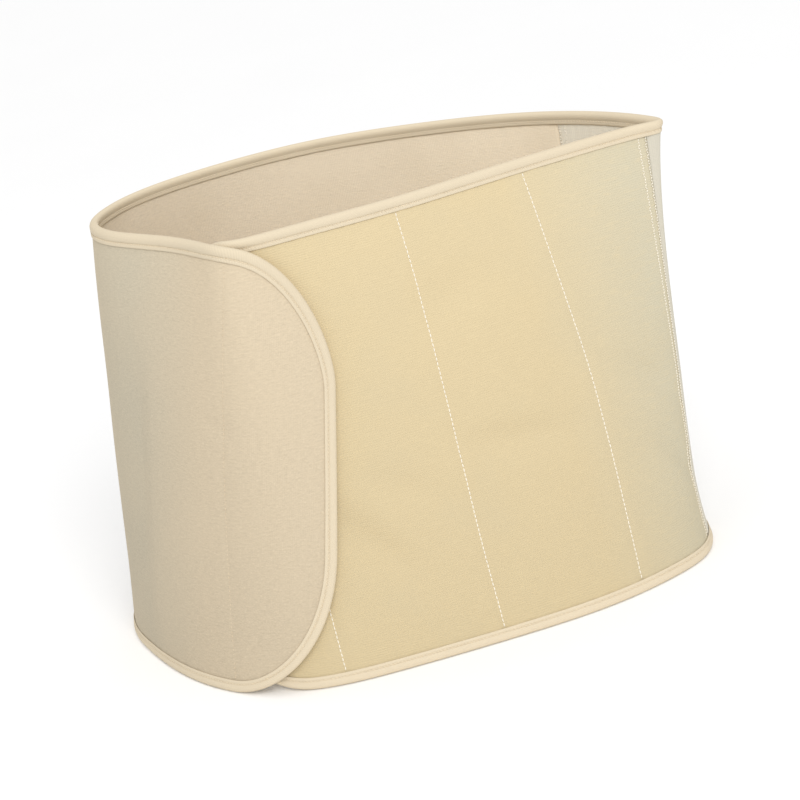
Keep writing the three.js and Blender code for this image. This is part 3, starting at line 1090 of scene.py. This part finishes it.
class BINDER_OT_stitches(bpy.types.Operator):
    """Stay stitches, flap stitches, zigzag seams and the binding's stitches"""

    bl_idname = "binder.stitches"
    bl_label = "Stitches"

    def execute(self, context):
        p, strip = sizes(), Strip()
        face = p.panel / 2
        thread = pale_thread()
        stays = []
        for name in STAY_LINES:
            for out in (face - LINE_SUNK, -face + INNER_SUNK):
                stays.append(line_row(strip, name, out))
        obj = stitch_rows("stay_stitches", strip, stays, STAY_THREAD)
        obj.data.materials.append(thread)

        flap = [line_row(strip, "flap_line", face - LINE_SUNK)]
        obj = stitch_rows("flap_stitches", strip, flap, FLAP_THREAD)
        obj.data.materials.append(matching_thread("flap_thread", colours().wrap, 1.08))

        seams = []
        for name in ("side_seam", "back_seam"):
            for offset in SEAM_ROWS:
                for out in (face - SEAM_SUNK, -face + INNER_SUNK):
                    seams.append(zigzag_row(strip.at[name] + offset, out))
        obj = stitch_rows("seam_stitches", strip, seams, SEAM_THREAD)
        obj.data.materials.append(thread)

        edge = [binding_row(strip, out) for out in (TAPE_OUT, -TAPE_OUT)]
        obj = stitch_rows("binding_stitches", strip, edge, TAPE_THREAD)
        obj.data.materials.append(matching_thread("tape_thread", colours().tape, 1.1))
        return {"FINISHED"}


def add_lamp(scene, name, kind, place, aim, strength):
    """Lamp at a place, turned towards the point that it lights."""
    lamp = bpy.data.lights.new(name, kind)
    lamp.energy = strength
    obj = bpy.data.objects.new(name, lamp)
    obj.location = place
    obj.rotation_euler = (Vector(aim) - Vector(place)).to_track_quat("-Z", "Y").to_euler()
    scene.collection.objects.link(obj)
    return lamp


class BINDER_OT_stage(bpy.types.Operator):
    """Plain floor, soft light and the camera at the photo's angle"""

    bl_idname = "binder.stage"
    bl_label = "Stage"

    def execute(self, context):
        scene = context.scene
        bm = bmesh.new()
        bmesh.ops.create_grid(bm, x_segments=1, y_segments=1, size=FLOOR_HALF)
        mesh = bpy.data.meshes.new("floor")
        bm.to_mesh(mesh)
        bm.free()
        floor = bpy.data.objects.new("floor", mesh)
        floor.location = (0, 0, -FLOOR_DROP)
        scene.collection.objects.link(floor)
        mesh.materials.append(floor_finish())

        world = bpy.data.worlds.new("soft_room")
        world.use_nodes = True
        room = world.node_tree.nodes["Background"]
        room.inputs["Color"].default_value = (1, 1, 1, 1)
        room.inputs["Strength"].default_value = ROOM_LIGHT
        scene.world = world

        key = add_lamp(scene, "key", "SUN", KEY_PLACE, (0, 0, 0), KEY_STRENGTH)
        key.angle = math.radians(KEY_SPREAD)
        overhead = add_lamp(scene, "overhead", "AREA", OVERHEAD_PLACE, OVERHEAD_AIM, OVERHEAD_POWER)
        overhead.size = OVERHEAD_SIZE

        data = bpy.data.cameras.new("photo_view")
        data.sensor_width = SENSOR
        data.lens = SENSOR * FOCAL_PIXELS / PHOTO_PIXELS
        data.clip_end = 60
        camera = bpy.data.objects.new("photo_view", data)
        down = math.radians(CAMERA_DOWN)
        target = Vector(CAMERA_TARGET)
        spot = target + CAMERA_DISTANCE * Vector((0, -math.cos(down), math.sin(down)))
        look = (target - spot).to_track_quat("-Z", "Y").to_matrix().to_4x4()
        roll = Matrix.Rotation(math.radians(CAMERA_ROLL), 4, "Z")
        camera.matrix_world = Matrix.Translation(spot) @ look @ roll
        scene.collection.objects.link(camera)
        scene.camera = camera
        scene.view_settings.view_transform = "Standard"
        return {"FINISHED"}


class BINDER_PT_panel(bpy.types.Panel):
    """Lists the binder's pieces and its sizes and colours"""

    bl_idname = "BINDER_PT_panel"
    bl_label = "Binder"
    bl_space_type = "VIEW_3D"
    bl_region_type = "UI"
    bl_category = "Binder"

    def draw(self, context):
        for kind in OPERATORS:
            self.layout.operator(kind.bl_idname)
        for group in (context.scene.binder_sizes, context.scene.binder_colours):
            box = self.layout.box()
            for name in group.__annotations__:
                box.prop(group, name)


OPERATORS = (
    BINDER_OT_front,
    BINDER_OT_side,
    BINDER_OT_wrap,
    BINDER_OT_binding,
    BINDER_OT_hook,
    BINDER_OT_stitches,
    BINDER_OT_stage,
)


def register():
    for kind in (BinderSizes, BinderColours, *OPERATORS, BINDER_PT_panel):
        bpy.utils.register_class(kind)
    bpy.types.Scene.binder_sizes = bpy.props.PointerProperty(type=BinderSizes)
    bpy.types.Scene.binder_colours = bpy.props.PointerProperty(type=BinderColours)


def unregister():
    del bpy.types.Scene.binder_sizes
    del bpy.types.Scene.binder_colours
    for kind in reversed((BinderSizes, BinderColours, *OPERATORS, BINDER_PT_panel)):
        bpy.utils.unregister_class(kind)


def main():
    register()
    for kind in OPERATORS:
        group, name = kind.bl_idname.split(".")
        getattr(getattr(bpy.ops, group), name)()


if __name__ == "__main__":
    main()
